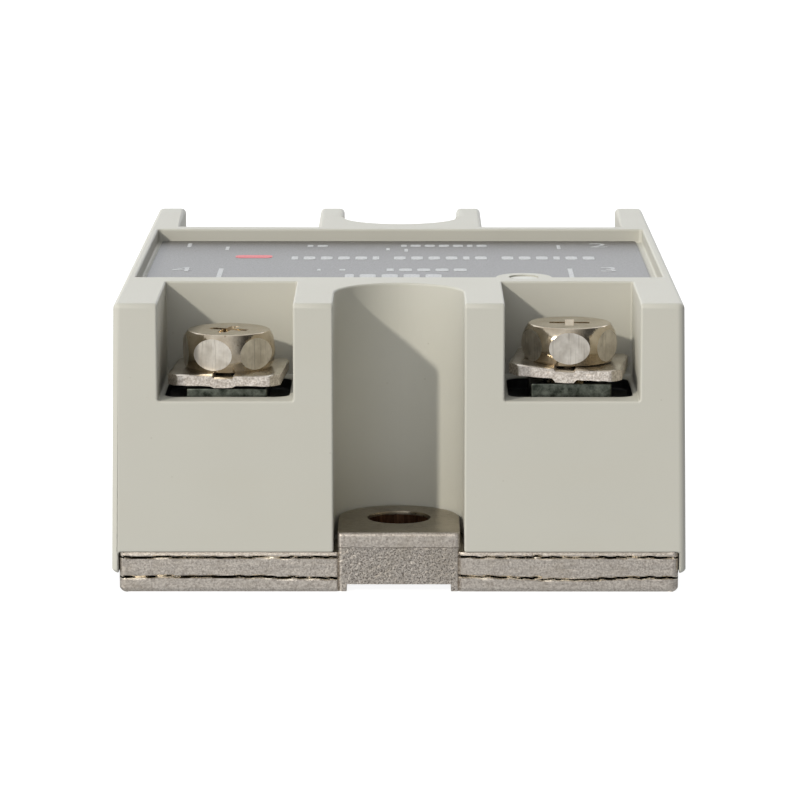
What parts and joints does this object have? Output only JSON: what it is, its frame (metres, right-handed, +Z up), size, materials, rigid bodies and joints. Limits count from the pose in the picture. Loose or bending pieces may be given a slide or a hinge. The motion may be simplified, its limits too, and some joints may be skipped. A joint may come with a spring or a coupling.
{
  "type": "solid state relay",
  "caption": "Panel-mount solid state relay in a flat moulded housing on a metal heat plate, with clamp screw terminals, notched mounting tabs and an indicator lamp.",
  "frame": {"origin": "middle of the underside of the base plate", "axes": "+X to the right seen from the control end, +Y along the length from the control end to the load end, +Z up out of the heat-sink face"},
  "size_m": [0.0456, 0.06, 0.0232],
  "materials": {
    "housing_plastic": "fine moulded satin",
    "plate_metal": "nickel plated, sheared edges",
    "label_sheet": "satin printed sheet",
    "light_pipe": "milky",
    "terminal_metal": "dark plated",
    "clamp_metal": "nickel plated, pressed",
    "screw_metal": "nickel plated, turned",
    "board_laminate": "solder resist",
    "component_epoxy": "moulded epoxy",
    "resistor_coat": "lacquered",
    "capacitor_case": "moulded case",
    "lamp_resin": "clear resin",
    "ceramic": "fired alumina",
    "copper": "bare copper",
    "silicon": "metallised silicon",
    "tinned_wire": "tinned",
    "potting": "cast resin"
  },
  "bodies": {
    "relay_body": {"housing": "housing_plastic", "base_plate": "plate_metal", "label": "label_sheet", "light_pipe": "light_pipe", "terminal_1": "terminal_metal", "terminal_2": "terminal_metal", "terminal_3": "terminal_metal", "terminal_4": "terminal_metal", "circuit_board": "board_laminate", "optocoupler": "component_epoxy", "input_resistor": "resistor_coat", "gate_resistor": "resistor_coat", "snubber_resistor": "resistor_coat", "snubber_capacitor": "capacitor_case", "indicator_lamp": "lamp_resin", "ceramic_insulator": "ceramic", "copper_pads": "copper", "thyristor_1": "silicon", "thyristor_2": "silicon", "cathode_clip_1": "copper", "cathode_clip_2": "copper", "gate_leads": "tinned_wire", "potting_compound": "potting"},
    "clamp_1": {"clamp_1": "clamp_metal"},
    "screw_1": {"screw_1": "screw_metal"},
    "clamp_2": {"clamp_2": "clamp_metal"},
    "screw_2": {"screw_2": "screw_metal"},
    "clamp_3": {"clamp_3": "clamp_metal"},
    "screw_3": {"screw_3": "screw_metal"},
    "clamp_4": {"clamp_4": "clamp_metal"},
    "screw_4": {"screw_4": "screw_metal"}
  },
  "joints": [
    {"name": "clamp_1_lift", "type": "slide", "parent": "relay_body", "child": "clamp_1", "axis": [0, 0, 1], "range_m": [0, 0.0035]},
    {"name": "screw_1_turn", "type": "hinge", "parent": "clamp_1", "child": "screw_1", "pos_m": [-0.0137, 0.0226, 0.018], "axis": [0, 0, 1], "range_deg": [0, 1800]},
    {"name": "clamp_2_lift", "type": "slide", "parent": "relay_body", "child": "clamp_2", "axis": [0, 0, 1], "range_m": [0, 0.0035]},
    {"name": "screw_2_turn", "type": "hinge", "parent": "clamp_2", "child": "screw_2", "pos_m": [0.0137, 0.0226, 0.018], "axis": [0, 0, 1], "range_deg": [0, 1800]},
    {"name": "clamp_3_lift", "type": "slide", "parent": "relay_body", "child": "clamp_3", "axis": [0, 0, 1], "range_m": [0, 0.0035]},
    {"name": "screw_3_turn", "type": "hinge", "parent": "clamp_3", "child": "screw_3", "pos_m": [0.0137, -0.0232, 0.018], "axis": [0, 0, 1], "range_deg": [0, 1800]},
    {"name": "clamp_4_lift", "type": "slide", "parent": "relay_body", "child": "clamp_4", "axis": [0, 0, 1], "range_m": [0, 0.0035]},
    {"name": "screw_4_turn", "type": "hinge", "parent": "clamp_4", "child": "screw_4", "pos_m": [-0.0137, -0.0232, 0.018], "axis": [0, 0, 1], "range_deg": [0, 1800]}
  ],
  "couplings": [
    {"joint": "screw_1_turn", "follows": "clamp_1_lift", "rad_per_m": 8976},
    {"joint": "screw_2_turn", "follows": "clamp_2_lift", "rad_per_m": 8976},
    {"joint": "screw_3_turn", "follows": "clamp_3_lift", "rad_per_m": 8976},
    {"joint": "screw_4_turn", "follows": "clamp_4_lift", "rad_per_m": 8976}
  ]
}
